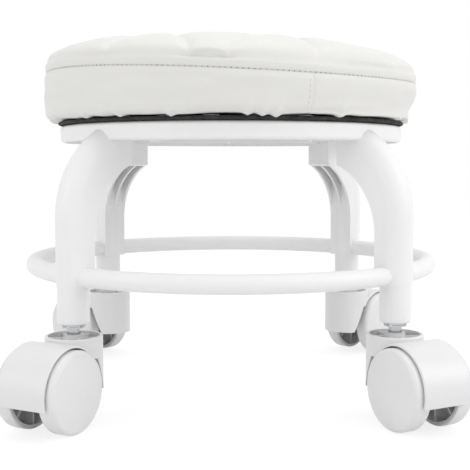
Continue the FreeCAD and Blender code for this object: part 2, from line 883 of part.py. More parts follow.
def add_fender(body):
    side = new_sketch(body, "fender_side", "XZ_Plane")
    top = on_axle(as_size(90), d.hood_radius)
    draw(side, [
        (d.trail, axle_height),
        on_axle(-d.hood_lip_angle, d.hood_radius),
        top,
        on_axle(d.hood_back_angle, d.hood_radius),
    ], {1: (d.hood_radius, 1), 2: (d.hood_radius, 1)})
    pad(body, "fender", side, d.hood_width, both_ways=True)
    space = new_sketch(body, "wheel_space_side", "XZ_Plane")
    draw_circle(space, d.trail, axle_height, d.hood_radius - d.hood_wall)
    pocket(body, "wheel_space", space, d.cup_diameter + d.overrun, both_ways=True)


def flare_arch(body):
    """Cut the sides of the cup back from the wheels, in a slope from its floor to its foot."""
    head = d.cup_floor_height - d.cup_floor
    foot = d.cup_back_height - d.overrun
    side = new_sketch(body, "arch_side", "XZ_Plane")
    draw(side, [
        (d.arch_head, head),
        (-d.arch_foot, foot),
        (d.trail, foot),
        (d.trail, head),
    ])
    pocket(body, "arch", side, d.cup_diameter + d.overrun, both_ways=True)


def add_bearings(body):
    """Stem hub, axle boss and the web between them."""
    hub = new_sketch(body, "stem_hub_plan", "XY_Plane", [("z", d.hub_foot_height)])
    draw_circle(hub, ZERO, ZERO, d.hub_diameter / 2)
    pad(body, "stem_hub", hub, hub_top - d.hub_foot_height)
    boss = new_sketch(body, "axle_boss_side", "XZ_Plane")
    draw_circle(boss, d.trail, axle_height, d.axle_boss_diameter / 2)
    pad(body, "axle_boss", boss, d.wheel_gap - d.axle_boss_clearance * 2, both_ways=True)
    middle = d.hood_radius - d.hood_wall / 2
    web = new_sketch(body, "web_side", "XZ_Plane")
    draw(web, [
        (-d.cup_diameter / 2 + d.cup_wall / 2, d.cup_back_height),
        (d.trail, axle_height - d.axle_boss_diameter / 4),
        (d.trail + d.axle_boss_diameter / 4, axle_height),
        on_axle(d.web_front_angle, middle),
        on_axle(d.web_back_angle, middle),
        (-d.cup_diameter / 2 + d.cup_wall / 2, d.cup_floor_height - d.cup_floor / 2),
    ], {3: (middle, 1)})
    pad(body, "web", web, d.web, both_ways=True)
    neck = new_sketch(body, "stem_bore_plan", "XY_Plane", [("z", bore_floor)])
    draw_circle(neck, ZERO, ZERO, d.neck_diameter / 2 + d.running_clearance)
    pocket(body, "stem_bore", neck, hub_top - bore_floor + d.overrun, backwards=True)
    recess = new_sketch(body, "clip_recess_plan", "XY_Plane", [("z", clip_foot - d.clip_clearance)])
    draw_circle(recess, ZERO, ZERO, d.clip_diameter / 2 + d.clip_clearance)
    pocket(body, "clip_recess", recess, d.clip_height + d.clip_clearance * 2, backwards=True)
    axle = new_sketch(body, "axle_bore_side", "XZ_Plane")
    draw_circle(axle, d.trail, axle_height, d.axle_diameter / 2)
    pocket(body, "axle_bore", axle, d.wheel_gap, both_ways=True)


def soften_hood(body):
    """Round the rim of the cup and the two outer edges of the fender."""
    rim = round_edges(body, "cup_rim_edge", body.Tip, d.hood_edge_round,
                      lambda edge: is_circle(edge, d.cup_diameter / 2, d.cup_rim_height))
    half_width = (d.hood_width / 2).number
    round_edges(body, "fender_edges", rim, d.hood_edge_round,
                lambda edge: is_circle(edge, d.hood_radius, axle_height)
                and math.isclose(abs(edge.Curve.Center.y), half_width, abs_tol=1e-4))


def make_hood(name):
    body = new_body(name)
    add_cup(body)
    add_fender(body)
    flare_arch(body)
    add_bearings(body)
    soften_hood(body)
    return body


def axle_sketch(body, name):
    """A sketch whose first axis runs along the axle and whose second is the distance from it."""
    return new_sketch(body, name, "YZ_Plane", [("y", axle_height), ("z", d.trail)])


def make_axle(name):
    body = new_body(name)
    outline = axle_sketch(body, f"{name}_outline")
    radius = d.axle_diameter / 2
    groove = radius - d.axle_groove_depth
    far = axle_reach - d.axle_groove_inset
    near = far - d.axle_groove_width
    draw(outline, [
        (-axle_reach, ZERO),
        (-axle_reach, radius),
        (-far, radius),
        (-far, groove),
        (-near, groove),
        (-near, radius),
        (near, radius),
        (near, groove),
        (far, groove),
        (far, radius),
        (axle_reach, radius),
        (axle_reach, ZERO),
    ])
    revolve(body, f"{name}_turned", outline, axis="H_Axis")
    return body


def make_wheel(name, side):
    """Hollow wheel: domed face outside, tread, hub with a snap bead on the axle, ribs inside."""
    body = new_body(name)
    outline = axle_sketch(body, f"{name}_outline")
    bore = d.axle_diameter / 2 + d.running_clearance
    bead = d.axle_diameter / 2 - d.axle_groove_depth + d.snap_clearance
    far = axle_reach - d.axle_groove_inset - d.snap_clearance
    near = far - d.axle_groove_width + d.snap_clearance * 2
    bore_end = axle_reach + d.snap_clearance
    hub = d.wheel_hub_diameter / 2
    rim = wheel_radius - d.wheel_rim
    face_foot = wheel_outer - d.wheel_dome - d.wheel_shoulder
    ceiling = wheel_outer - d.wheel_dome - d.wheel_face / 2
    shoulder = wheel_radius - d.wheel_shoulder
    dome = (shoulder * shoulder + d.wheel_dome * d.wheel_dome) / (d.wheel_dome * 2)
    points = [
        (wheel_outer, ZERO),
        (bore_end, ZERO),
        (bore_end, bore),
        (far, bore),
        (far, bead),
        (near, bead),
        (near, bore),
        (wheel_inner, bore),
        (wheel_inner, hub),
        (ceiling, hub),
        (ceiling, rim),
        (wheel_inner, rim),
        (wheel_inner, wheel_radius - d.wheel_edge),
        (wheel_inner + d.wheel_edge, wheel_radius),
        (face_foot, wheel_radius),
        (face_foot + d.wheel_shoulder, shoulder),
    ]
    points = [(along * side, out) for along, out in points]
    arcs = {12: (d.wheel_edge, -side), 14: (d.wheel_shoulder, -side), 15: (dome, -side)}
    draw(outline, points, arcs)
    revolve(body, f"{name}_turned", outline, axis="H_Axis")
    rib = new_sketch(body, f"{name}_rib_plan", "XY_Plane", [("z", axle_height), ("x", d.trail)])
    foot = (wheel_inner + d.wheel_rib_inset) * side
    head = (ceiling + d.wheel_face / 4) * side
    draw(rib, [
        (hub - d.wheel_rib / 2, foot),
        (rim + d.wheel_rim / 4, foot),
        (rim + d.wheel_rim / 4, head),
        (hub - d.wheel_rib / 2, head),
    ])
    ribs = pad(body, f"{name}_rib", rib, d.wheel_rib, both_ways=True)
    repeat_round(body, f"{name}_ribs", [ribs], d.wheel_rib_count, (outline, ["H_Axis"]))
    return body


def make_caster(corner, x, y, turn):
    name = f"caster_{corner}"
    pieces = [
        make_stem(f"{name}_stem"),
        make_grip_ring(f"{name}_grip_ring"),
        make_stem_clip(f"{name}_stem_clip"),
        make_hood(f"{name}_hood"),
        make_axle(f"{name}_axle"),
        make_wheel(f"{name}_wheel_left", 1),
        make_wheel(f"{name}_wheel_right", -1),
    ]
    for piece in pieces:
        stand(piece, x, y, turn)
    return pieces


half_pitch = d.leg_pitch / 2
made = [make_frame(), make_dust_cloth(), make_board(), make_screws(), make_staples()]
made += make_cushion()
made += make_caster("front_left", -half_pitch, -half_pitch, d.trail_front_left)
made += make_caster("front_right", half_pitch, -half_pitch, d.trail_front_right)
made += make_caster("rear_right", half_pitch, half_pitch, d.trail_rear_right)
made += make_caster("rear_left", -half_pitch, half_pitch, d.trail_rear_left)
doc.recompute()

failed = [item.Name for item in doc.Objects if "Invalid" in item.State or "Error" in item.State]
failed += [piece.Label for piece in made if piece.Shape.isNull() or not piece.Shape.isValid()]
if failed:
    raise RuntimeError(f"these objects failed: {failed}")

os.makedirs("parts", exist_ok=True)
for piece in made:
    piece.Shape.exportStep(f"parts/{piece.Label}.step")
    print(piece.Label, len(piece.Shape.Solids), round(piece.Shape.Volume))
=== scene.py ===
import bisect
import json
import math
import random

import bpy
from mathutils import Matrix, Vector, noise


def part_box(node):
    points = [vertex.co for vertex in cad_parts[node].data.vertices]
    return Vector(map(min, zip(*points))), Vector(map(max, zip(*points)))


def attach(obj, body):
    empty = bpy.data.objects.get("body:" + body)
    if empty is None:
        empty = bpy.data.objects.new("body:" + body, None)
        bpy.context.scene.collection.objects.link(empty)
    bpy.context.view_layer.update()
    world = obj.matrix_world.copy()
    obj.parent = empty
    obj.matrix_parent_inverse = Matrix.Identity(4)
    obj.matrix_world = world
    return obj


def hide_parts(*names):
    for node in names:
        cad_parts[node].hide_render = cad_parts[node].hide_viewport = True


# Low rolling stool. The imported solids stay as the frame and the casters, and get their finishes here.
# The padded seat and the cloth under it are modelled here. Metres, +Z up, front towards -Y.

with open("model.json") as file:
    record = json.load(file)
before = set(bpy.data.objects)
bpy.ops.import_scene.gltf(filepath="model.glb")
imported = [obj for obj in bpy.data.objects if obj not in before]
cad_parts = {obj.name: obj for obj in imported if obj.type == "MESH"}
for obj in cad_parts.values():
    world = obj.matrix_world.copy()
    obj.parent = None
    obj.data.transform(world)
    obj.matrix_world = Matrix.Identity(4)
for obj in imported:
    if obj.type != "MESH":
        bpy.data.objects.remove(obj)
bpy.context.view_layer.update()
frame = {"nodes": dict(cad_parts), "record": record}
MM = 0.001

# Camera, found from the photograph: its place, the way it looks and the width of its view
PHOTO_PIXELS = 470
FOCAL_PIXELS = 918
SENSOR_WIDTH = 36.0
NEAR_LIMIT = 10.0 * MM
CAMERA_PLACE = Vector((-17.4, -664.8, 160.0)) * MM
CAMERA_PITCH = math.radians(-4.49)
CAMERA_HEADING = math.radians(-1.75)


class Value:
    """A value in a node tree. Sums, differences and products of values add Math nodes."""

    def __init__(self, nodes, socket):
        self.nodes = nodes
        self.socket = socket

    def math(self, operation, first, second=0.0):
        return self.nodes.node("ShaderNodeMath", {0: first, 1: second}, operation=operation)

    def __add__(self, other):
        return self.math("ADD", self, other)

    def __radd__(self, other):
        return self.math("ADD", other, self)

    def __sub__(self, other):
        return self.math("SUBTRACT", self, other)

    def __rsub__(self, other):
        return self.math("SUBTRACT", other, self)

    def __mul__(self, other):
        return self.math("MULTIPLY", self, other)

    def __rmul__(self, other):
        return self.math("MULTIPLY", other, self)


class Nodes:
    """The nodes of a material or of the world, added one by one."""

    def __init__(self, owner):
        owner.use_nodes = True
        self.tree = owner.node_tree

    def feed(self, socket, value):
        if isinstance(value, Value):
            self.tree.links.new(value.socket, socket)
        else:
            socket.default_value = value

    def node(self, kind, inputs, output=0, **settings):
        """A node of this kind: its settings first, then the values or links of its sockets."""
        made = self.tree.nodes.new(kind)
        for name, value in settings.items():
            setattr(made, name, value)
        for socket, value in inputs.items():
            self.feed(made.inputs[socket], value)
        return Value(self, made.outputs[output])

    def between(self, value, low, high, first=0.0, second=1.0):
        """The value's stretch from low to high, spread from first to second and held beyond."""
        return self.node("ShaderNodeMapRange", {0: value, 1: low, 2: high, 3: first, 4: second})

    def seen(self):
        """Above zero for the rays that show the background: to the camera, in gloss and through glass."""
        rays = [self.node("ShaderNodeLightPath", {}, output=f"Is {ray} Ray") for ray in BACKGROUND_RAYS]
        return rays[0] + rays[1] + rays[2]


class Finish(Nodes):
    """One material, built up from nodes around its Principled shader."""

    def __init__(self, name):
        self.material = bpy.data.materials.new(name)
        super().__init__(self.material)
        self.shader = self.tree.nodes["Principled BSDF"]

    def mark(self, name):
        """A number that the mesh carries at its points under this name."""
        return self.node("ShaderNodeAttribute", {}, output="Fac", attribute_name=name)

    def place(self):
        return self.node("ShaderNodeTexCoord", {}, output="Object")

    def noise(self, size, detail=2.0, stretch=(1, 1, 1)):
        """Cloudy pattern with features of about this size."""
        where = self.place()
        if stretch != (1, 1, 1):
            where = self.node("ShaderNodeMapping", {"Vector": where, "Scale": stretch})
        return self.node("ShaderNodeTexNoise", {"Vector": where, "Scale": 1 / size, "Detail": detail})

    def cells(self, size, feature="F1"):
        """Pattern of cells of about this size."""
        return self.node("ShaderNodeTexVoronoi", {"Vector": self.place(), "Scale": 1 / size}, feature=feature)

    def blend(self, mask, first, second):
        return self.node("ShaderNodeMix", {0: mask, 6: first, 7: second}, output=2, data_type="RGBA")

    def bump(self, height, depth):
        return self.node("ShaderNodeBump", {"Height": height, "Distance": depth, "Strength": 1.0})

    def shade(self, **sockets):
        for name, value in sockets.items():
            self.feed(self.shader.inputs[name.replace("_", " ")], value)
        return self.material


def grey(level, warm=0.0):
    return (level + warm, level, level - warm, 1.0)


# Finishes

BACKGROUND_RAYS = ("Camera", "Glossy", "Transmission")
STITCH_PITCH = 3.4 * MM
HOLE = 0.55 * MM
HOLE_CORE = HOLE * 0.4
# Grey painted as the shade inside the needle holes.
HOLE_SHADE_GREY = 0.22
# Darker end of the leather's colour: its random tone, and painted shade in the hollows between the pebbles.
LEATHER_TONE_AND_HOLLOW_SHADE = (0.755, 0.75, 0.725, 1)
LEATHER_BRIGHT = (0.80, 0.795, 0.775, 1)
PLY_DARK = (0.42, 0.27, 0.14, 1)
PLY_PALE = (0.66, 0.48, 0.29, 1)
THREAD_DULL = (0.62, 0.61, 0.58, 1)
THREAD_BRIGHT = (0.80, 0.79, 0.76, 1)
# Painted shade in the foam's pores.
FOAM_PORE_SHADE = (0.55, 0.48, 0.28, 1)
FOAM_PALE = (0.85, 0.79, 0.58, 1)


def frame_plastic():
    """White satin polypropylene: fine moulded skin, with faint clouds of flow in it."""
    finish = Finish("white_frame_plastic")
    clouds = finish.noise(35 * MM, detail=3.0)
    skin = finish.noise(0.7 * MM)
    waves = finish.noise(6 * MM)
    return finish.shade(
        Base_Color=finish.blend(clouds, grey(0.86), grey(0.89)),
        Roughness=finish.between(skin, 0.3, 0.7, 0.36, 0.48),
        Normal=finish.bump(skin + waves * 1.5, 0.04 * MM),
    )


def caster_plastic():
    """White nylon of the casters: smoother than the frame, with fine scuffs."""
    finish = Finish("white_caster_plastic")
    clouds = finish.noise(20 * MM, detail=3.0)
    scuffs = finish.noise(2.5 * MM, detail=4.0, stretch=(1, 1, 0.2))
    return finish.shade(
        Base_Color=finish.blend(clouds, grey(0.77), grey(0.81)),
        Roughness=finish.between(scuffs, 0.35, 0.75, 0.28, 0.42),
        Normal=finish.bump(scuffs, 0.02 * MM),
    )


def chromed_steel():
    """Bright stems, with the fine lines of their turning."""
    finish = Finish("chromed_steel")
    lines = finish.noise(4 * MM, stretch=(1, 1, 12))
    return finish.shade(
        Base_Color=grey(0.5, -0.01),
        Metallic=1.0,
        Roughness=finish.between(lines, 0.3, 0.7, 0.08, 0.2),
        Normal=finish.bump(lines, 0.01 * MM),
    )


def zinc_steel():
    """Dull plating of the small hidden steel, with its spangle."""
    finish = Finish("zinc_steel")
    spangle = finish.cells(1.6 * MM)
    return finish.shade(
        Base_Color=finish.blend(spangle, grey(0.5), grey(0.62, -0.01)),
        Metallic=1.0,
        Roughness=finish.between(spangle, 0.0, 0.8, 0.28, 0.45),
        Normal=finish.bump(spangle, 0.01 * MM),
    )


def plywood():
    """Seat board: flat plies, with grain along one way."""
    finish = Finish("plywood")
    plies = finish.noise(30 * MM, detail=1.0, stretch=(0.15, 0.15, 25))
    grain = finish.noise(20 * MM, detail=5.0, stretch=(12, 1, 1))
    return finish.shade(
        Base_Color=finish.blend(plies * 0.6 + grain * 0.4, PLY_DARK, PLY_PALE),
        Roughness=finish.between(grain, 0.3, 0.7, 0.6, 0.8),
        Normal=finish.bump(grain, 0.2 * MM),
    )


def needle_hole_shade(finish):
    """Mask of the painted shade in the needle holes along the seam: one for each stitch, fainter in patches.
    """
    phase = finish.mark("seam_run") * (1 / STITCH_PITCH)
    phase = phase.math("FRACT", phase + 0.5) - 0.5
    aside = phase.math("ABSOLUTE", phase)
    hole_shade = finish.between(aside, HOLE_CORE / STITCH_PITCH, HOLE / STITCH_PITCH, 1.0, 0.0)
    hole_shade = hole_shade * finish.between(finish.mark("seam_gap"), HOLE_CORE, HOLE, 1.0, 0.0)
    return hole_shade * finish.between(finish.noise(14 * MM), 0.38, 0.6, 0.4, 1.0)


def white_leather():
    """Coated leather cloth: fine pebbles, duller between them, with painted shade in the hollows between them
    and in the needle holes along the seam.
    """
    finish = Finish("white_leather")
    # Painted shade in the needle holes along the seam, fainter in patches.
    hole_shade = needle_hole_shade(finish)
    pebbles = finish.between(finish.cells(1.1 * MM, feature="DISTANCE_TO_EDGE"), 0.0, 0.12)
    pores = finish.noise(0.4 * MM, detail=3.0)
    clouds = finish.noise(30 * MM, detail=3.0)
    grain = pebbles * 0.7 + pores * 0.3
    # Random clouds of tone, and painted shade in the hollows between the pebbles.
    skin = finish.blend(clouds * 0.5 + pebbles * 0.5, LEATHER_TONE_AND_HOLLOW_SHADE, LEATHER_BRIGHT)
    return finish.shade(
        Base_Color=finish.blend(hole_shade, skin, grey(HOLE_SHADE_GREY)),
        Roughness=finish.between(grain, 0.2, 0.9, 0.58, 0.44),
        Normal=finish.bump(grain, 0.07 * MM),
    )


def sewing_thread():
    """Twisted white thread."""
    finish = Finish("sewing_thread")
    twist = finish.noise(0.5 * MM, detail=1.0, stretch=(1, 1, 2))
    return finish.shade(
        Base_Color=finish.blend(twist, THREAD_DULL, THREAD_BRIGHT),
        Roughness=0.75,
        Normal=finish.bump(twist, 0.1 * MM),
    )


def cut_foam():
    """Yellowish foam with open pores, with painted shade in them."""
    finish = Finish("cut_foam")
    pores = finish.cells(1.2 * MM)
    # The pores get painted shade, darker towards their middles.
    return finish.shade(
        Base_Color=finish.blend(pores, FOAM_PORE_SHADE, FOAM_PALE),
        Roughness=0.95,
        Normal=finish.bump(pores, 0.5 * MM),
    )


def dust_cloth_felt():
    """Black non-woven cloth: pressed fibres every way, with paler ends among them."""
    finish = Finish("dust_cloth_felt")
    fibres = finish.noise(1.2 * MM, detail=6.0, stretch=(1, 1, 3))
    lumps = finish.noise(5 * MM)
    ends = finish.between(fibres * lumps * 2, 0.3, 0.8)
    return finish.shade(
        Base_Color=finish.blend(ends, grey(0.008), grey(0.05, 0.002)),
        Roughness=finish.between(fibres, 0.3, 0.7, 0.75, 0.95),
        Normal=finish.bump(fibres + lumps, 0.6 * MM),
    )


def dress_frame_and_casters():
    """Each CAD node that stays gets the finish of its slot in the record."""
    finishes = {
        "white_frame_plastic": frame_plastic(),
        "white_caster_plastic": caster_plastic(),
        "chromed_steel": chromed_steel(),
        "zinc_steel": zinc_steel(),
        "plywood": plywood(),
    }
    for row in frame["record"]["subparts"]:
        finish = finishes.get(row["material_slot"])
        if finish:
            node = frame["nodes"][row["node"]]
            node.data.materials.clear()
            node.data.materials.append(finish)


# Padded seat: main sizes

band_low, band_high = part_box("cover_side_band")
panel_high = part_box("cover_top_panel")[1]
LEATHER = 1.1 * MM
HEM_HEIGHT = band_low.z
HEM_RADIUS = 105.0 * MM
FOOT_ROUND = 6.0 * MM
SIDE_RADIUS = band_high.x - 1.5 * MM
SEAM_RADIUS = band_high.x - 2.6 * MM
SEAM_HEIGHT = band_high.z + 0.7 * MM
RIM_RADIUS = SEAM_RADIUS - 0.4 * MM
CROWN_HEIGHT = panel_high.z - 1.9 * MM
STRIP_RISE = 6.5 * MM
STRIP_BULGE = 0.3 * MM
BULGE_HOLD = 1.2
PANEL_QUADS = 96
STRIP_ROWS = 4
BAND_ROWS = 10
HEM_ROWS = 6

# Padded seat: how the soft pad has settled
SEAM_LEAN_LEFT = 3.0
SEAM_LEAN_BACK = 2.1
SEAM_TWIST_SIDES = 0.9
SEAM_TWIST_CORNERS = 1.4
CROWN_DOME = 2.2
CROWN_SHOULDER = 0.45
CROWN_SLUMP = 2.6 * MM

# Padded seat: tufts and the sewn creases between them
TUFT_COUNT = 4
TUFT_RADIUS = 55.0 * MM
TUFT_TURN = math.radians(-7.5)
TUFT_DEPTH = 6.0 * MM
TUFT_REACH = 10.0 * MM
CREASE_ANGLES = [math.radians(angle) for angle in (5.0, 30.0, 60.0, 85.0)]
CREASE_EDGE_RADIUS = 128.0 * MM
CREASE_SHARPNESS = 0.9
CREASE_DEPTH = 3.8 * MM
CREASE_REACH = 3.6 * MM
CREASE_FADE = 0.3
CREASE_SNAP = 0.55
CREASE_LIMIT = 0.985
HOLD_FADE = 0.2

# Padded seat: filling the cover
NUMBER_FROM = (0.917, 0.371, 0.533)
PUFF_FRAMES = 20
PUFF_LIMIT = 7.0 * MM
PUFF_CLOTH = {
    "quality": 6,
    "mass": 0.3,
    "tension_stiffness": 25,
    "compression_stiffness": 25,
    "shear_stiffness": 10,
    "bending_stiffness": 1.5,
    "use_pressure": True,
    "uniform_pressure_force": 5,
    "vertex_group_mass": "held",
}

# Padded seat: the seam and the fold over it
PANEL_CALM_RADIUS = 95.0 * MM
SEAM_DEPTH = 0.4 * MM
SEAM_REACH = 1.3 * MM
SEAM_STEADY = 8
SEAM_WEIGHT = 0.99
SEAM_CALM = 4.0 * MM
LIP_RISE = 0.15 * MM
LIP_GAP = 4.0 * MM
LIP_REACH = 2.2 * MM
FOLD_DEPTH = 1.2 * MM
FOLD_MEAN = 0.45
FOLD_CHANGE = 0.5
FOLD_WAVES = 3
FOLD_FRONT = 1.7
FOLD_TURN = math.radians(-97.0)
FOLD_REACH = math.radians(6.0)
FOLD_WIDTH = 1.1 * MM
ROLL_SHARE = 0.35
ROLL_GAP = 3.0 * MM
ROLL_REACH = 2.2 * MM

# Padded seat: slack leather, the band's join, its pleats and its tuck
SLACK_ACROSS = 22
SLACK_UPRIGHT = 9
PANEL_SLACK = 0.35 * MM
PANEL_SLACK_START = 8 * MM
BAND_SLACK = 1.0 * MM
BAND_SLACK_START = 6 * MM
JOIN_TURN = math.radians(-69.6)
JOIN_DEPTH = 0.6 * MM
JOIN_REACH = 0.8 * MM
SEEN_PLEATS = [math.radians(angle) for angle in (-138, -124, -108, -87, -83, -79, -59)]
HIDDEN_PLEATS_START = math.radians(-28.0)
HIDDEN_PLEATS_END = math.radians(212.0)
PLEAT_PITCH = math.radians(15.0)
PLEAT_SPREAD = (0.6, 1.5)
PLEAT_SEED = 4
PLEAT_DROP = 1.5 * MM
PLEAT_WIDTH = 4.0 * MM
PLEAT_RISE = 5 * MM
PLEAT_INNER_RADIUS = 120.0 * MM
PLEAT_RAMP = 4.0 * MM
RIDGE_HEIGHT = 0.2 * MM
RIDGE_WIDTH = 2.6 * MM
RIDGE_RISE = 7 * MM
HEM_WAVE = 0.5 * MM
HEM_WAVES = 9
HEM_WAVE_RISE = 6 * MM
TUCK_TURN = math.radians(-15.0)
TUCK_HEIGHT = 26.0 * MM
TUCK_DEPTH = 10.0 * MM
BOARD_GAP = 0.3 * MM

# Padded seat: foam and thread
FOAM_GAP = 0.7 * MM
FOAM_SEAT_GAP = 0.2 * MM
STITCH_LENGTH = 2.7 * MM
STITCH_SIDES = 8
STITCH_RINGS = 6
STITCH_DIP = 0.7
STITCH_LIFT = 0.25
THREAD = 0.6 * MM
JOIN_STEPS = 60
JOIN_FOOT = 2.0 * MM
JOIN_STITCH_GAP = 2.2 * MM
JOIN_SIGHT = 200.0 * MM


def seam_height(turn):
    """The seam stands high on the left and dips at the front right, as the soft pad has settled."""
    lean = -SEAM_LEAN_LEFT * math.cos(turn) + SEAM_LEAN_BACK * math.sin(turn)
    dip = SEAM_TWIST_SIDES * math.cos(2 * turn) + SEAM_TWIST_CORNERS * math.sin(2 * turn)
    return SEAM_HEIGHT + (lean + dip) * MM


def crown_height(x, y):
    """The crown without its tufts: domed from the fold over the seam, and lower on the right."""
    radius = min(math.hypot(x, y) / RIM_RADIUS, 1.0)
    foot = seam_height(math.atan2(y, x)) + STRIP_RISE
    slump = CROWN_SLUMP * x / RIM_RADIUS * radius
    return foot + (CROWN_HEIGHT - slump - foot) * (1 - radius ** CROWN_DOME) ** CROWN_SHOULDER


def crease_lines():
    """Plan of the sewn creases: from each tuft to its points near the edge of the panel."""
    share = math.tau / TUFT_COUNT
    lines = []
    for index in range(TUFT_COUNT):
        start = TUFT_TURN + share * index
        tuft = Matrix.Rotation(start + share / 2, 2) @ Vector((TUFT_RADIUS, 0))
        for angle in CREASE_ANGLES:
            lines.append((tuft, Matrix.Rotation(start + angle, 2) @ Vector((CREASE_EDGE_RADIUS, 0))))
    return lines


def nearest_crease(point, lines):
    """The nearest point of any crease, how far off it is, and how far along the crease it lies."""
    best = None
    for start, end in lines:
        run = end - start
        along = max(0.0, min(1.0, (point - start).dot(run) / run.length_squared))
        spot = start + run * along
        gap = (point - spot).length
        if best is None or gap < best[1]:
            best = (spot, gap, along)
    return best


# Padded seat: the leather cover

def select_only(piece):
    bpy.ops.object.select_all(action="DESELECT")
    piece.select_set(True)
    bpy.context.view_layer.objects.active = piece


def select_rim(piece):
    """Leave only the piece's open rim selected."""
    select_only(piece)
    bpy.ops.object.mode_set(mode="EDIT")
    bpy.ops.mesh.select_mode(type="EDGE")
    bpy.ops.mesh.select_all(action="SELECT")
    bpy.ops.mesh.region_to_loop()
    bpy.ops.object.mode_set(mode="OBJECT")


def apply_modifier(piece, kind, **settings):
    select_only(piece)
    modifier = piece.modifiers.new(kind.lower(), kind)
    for name, value in settings.items():
        setattr(modifier, name, value)
    bpy.ops.object.modifier_apply(modifier=modifier.name)


def smooth(piece):
    select_only(piece)
    bpy.ops.object.shade_smooth()


def extrude_rim(piece, shape):
    """Extrude the selected open rim once and put each new point at shape(turn)."""
    bpy.ops.object.mode_set(mode="EDIT")
    bpy.ops.mesh.extrude_edges_move()
    bpy.ops.object.mode_set(mode="OBJECT")
    row = [vertex for vertex in piece.data.vertices if vertex.select]
    for vertex in row:
        vertex.co = shape(turn_of(vertex.co))
    return [vertex.index for vertex in row]


def turn_of(point):
    """The point's angle round the stool's axis, from +X."""
    return math.atan2(point.y, point.x)


def around(turn, radius, height):
    return Vector((radius * math.cos(turn), radius * math.sin(turn), height))


def rounded(u, v):
    """The place in a disc of radius 1 for a point of the square from -1 to 1."""
    return u * math.sqrt(1 - v * v / 2), v * math.sqrt(1 - u * u / 2)


def strip_point(turn, share):
    """A point of the panel's upright edge: share runs from 0 at its fold to 1 at the seam."""
    bulge = STRIP_BULGE * math.sin(math.pi * share)
    radius = RIM_RADIUS + (SEAM_RADIUS - RIM_RADIUS) * share + bulge
    return around(turn, radius, seam_height(turn) + STRIP_RISE * (1 - share))


def band_point(turn, share):
    """A point of the side band: share runs from 0 at the seam to 1 at its foot."""
    top = seam_height(turn)
    foot = HEM_HEIGHT + FOOT_ROUND
    height = top + (foot - top) * share
    bulge = (SIDE_RADIUS - SEAM_RADIUS) * math.sin(math.pi * min(share * BULGE_HOLD, 1.0) / BULGE_HOLD)
    return around(turn, SEAM_RADIUS + bulge, height)


def hem_point(turn, share):
    """A point of the turned-under hem: round the foot of the side, then flat under the board."""
    bend = min(share * 2, 1.0) * math.pi / 2
    radius = SIDE_RADIUS - FOOT_ROUND * (1 - math.cos(bend))
    radius -= (SIDE_RADIUS - FOOT_ROUND - HEM_RADIUS) * max(share * 2 - 1, 0.0)
    return around(turn, radius, HEM_HEIGHT + FOOT_ROUND * (1 - math.sin(bend)))


def round_panel():
    """A square grid drawn out to the panel's round crown, so that its faces stay even and have no pole."""
    bpy.ops.mesh.primitive_grid_add(x_subdivisions=PANEL_QUADS, y_subdivisions=PANEL_QUADS, size=2)
    panel = bpy.context.object
    lines = crease_lines()
    spacing = 2 * RIM_RADIUS / PANEL_QUADS
    held = {}
    for vertex in panel.data.vertices:
        spot = Vector(rounded(vertex.co.x, vertex.co.y)) * RIM_RADIUS
        line_spot, gap, along = nearest_crease(spot, lines)
        if gap < spacing * CREASE_SNAP and spot.length < RIM_RADIUS * CREASE_LIMIT:
            spot, gap = line_spot, 0.0
            held[vertex.index] = 1.0 - HOLD_FADE * along
        depth = CREASE_DEPTH * (1 - CREASE_FADE * along) * math.exp(-gap / CREASE_REACH)
        tuft = min((spot - start).length for start, end in lines)
        depth += TUFT_DEPTH * bell(tuft, TUFT_REACH)
        vertex.co = (spot.x, spot.y, crown_height(spot.x, spot.y) - depth)
    sharp = panel.data.attributes.new("crease_edge", "FLOAT", "EDGE")
    for edge in panel.data.edges:
        if all(index in held for index in edge.vertices):
            sharp.data[edge.index].value = CREASE_SHARPNESS
    return panel, held


def sew_cover():
    """Top panel, side band and turned-under hem as one skin, open under the board."""
    panel, held = round_panel()
    select_rim(panel)
    for row in range(1, STRIP_ROWS + 1):
        seam = extrude_rim(panel, lambda turn: strip_point(turn, row / STRIP_ROWS))
    panel_faces = len(panel.data.polygons)
    for row in range(1, BAND_ROWS + 1):
        extrude_rim(panel, lambda turn: band_point(turn, row / BAND_ROWS))
    for row in range(1, HEM_ROWS + 1):
        hem = extrude_rim(panel, lambda turn: hem_point(turn, row / HEM_ROWS))
        held.update({index: 1.0 for index in hem})
    bpy.ops.object.mode_set(mode="EDIT")
    bpy.ops.mesh.select_all(action="SELECT")
    bpy.ops.mesh.normals_make_consistent(inside=False)
    bpy.ops.object.mode_set(mode="OBJECT")
    for face in panel.data.polygons:
        face.material_index = int(face.index >= panel_faces)
    pins = panel.vertex_groups.new(name="held")
    for index, weight in held.items():
        pins.add([index], weight, "REPLACE")
    panel.vertex_groups.new(name="seam").add(seam, 1.0, "REPLACE")
    return panel


def number_by_place(piece):
    """Number the points, edges and faces by their place, so that every run fills the cover alike."""
    cursor = bpy.context.scene.cursor
    cursor.location = NUMBER_FROM
    select_only(piece)
    bpy.ops.object.mode_set(mode="EDIT")
    bpy.ops.mesh.select_all(action="SELECT")
    bpy.ops.mesh.sort_elements(type="CURSOR_DISTANCE", elements={"VERT", "EDGE", "FACE"})
    bpy.ops.object.mode_set(mode="OBJECT")
    cursor.location = (0, 0, 0)


